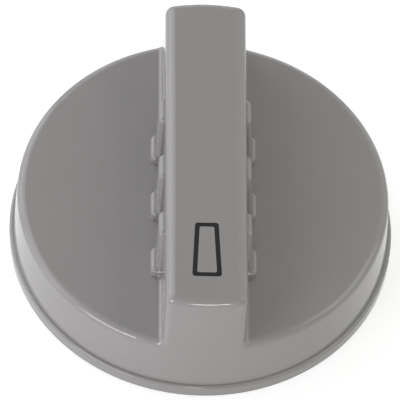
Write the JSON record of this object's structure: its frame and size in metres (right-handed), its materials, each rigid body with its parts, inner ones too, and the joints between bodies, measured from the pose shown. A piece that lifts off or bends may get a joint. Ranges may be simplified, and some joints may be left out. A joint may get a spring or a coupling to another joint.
{
  "type": "fridge temperature control knob",
  "caption": "Round push-on knob with a low rim, two level wings and a grip bar across its whole diameter, with an outlined wedge mark at one end.",
  "frame": {"origin": "centre of the rim's foot, in the plane that the knob rests on", "axes": "+Z out of the appliance along the shaft; the grip bar lies along Y, and the mark is at its -Y end"},
  "size_m": [0.047, 0.047, 0.0182],
  "materials": {
    "grey_plastic": "moulded, smooth and softly glossy",
    "spring_steel": "drawn wire, bright",
    "black_ink": "stamped black foil"
  },
  "bodies": {
    "root": {"knob_body": "grey_plastic", "hub_spring_ring": "spring_steel", "index_mark": "black_ink"}
  },
  "joints": []
}
